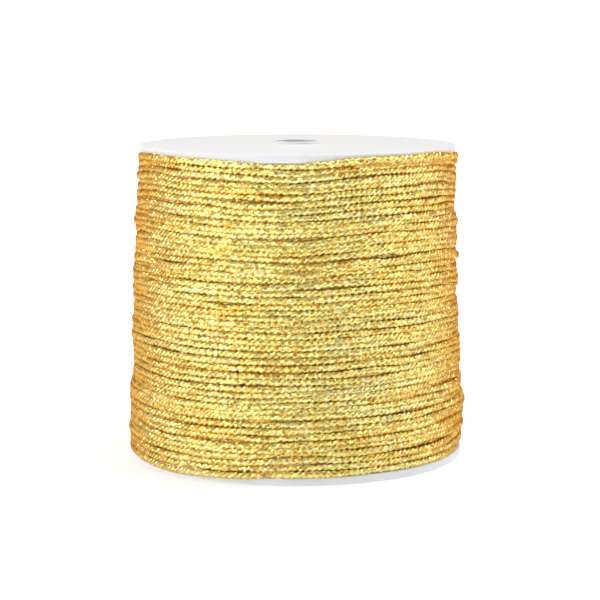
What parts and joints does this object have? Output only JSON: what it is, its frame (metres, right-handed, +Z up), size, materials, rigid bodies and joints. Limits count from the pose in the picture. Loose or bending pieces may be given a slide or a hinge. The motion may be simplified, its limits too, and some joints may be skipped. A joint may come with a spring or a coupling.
{
  "type": "spool of metallic macrame cord",
  "caption": "White plastic spool standing on its flange, wound full with thin gold metallic macrame cord in uneven level turns, with a spindle hole through both ends.",
  "frame": {"origin": "centre of the lower flange's underside, on the surface that the spool stands on", "axes": "+Z up along the spool's axis, from the lower flange to the upper flange; -Y is the side that the picture shows"},
  "size_m": [0.0612, 0.0612, 0.0562],
  "materials": {
    "white_plastic": "moulded white plastic, slightly see-through at its thin rim",
    "gold_metallic_cord": "twisted cord of gold metallised thread, glittering"
  },
  "bodies": {
    "root": {"spool_base": "white_plastic", "spool_cap": "white_plastic", "cord_winding": "gold_metallic_cord"}
  },
  "joints": []
}
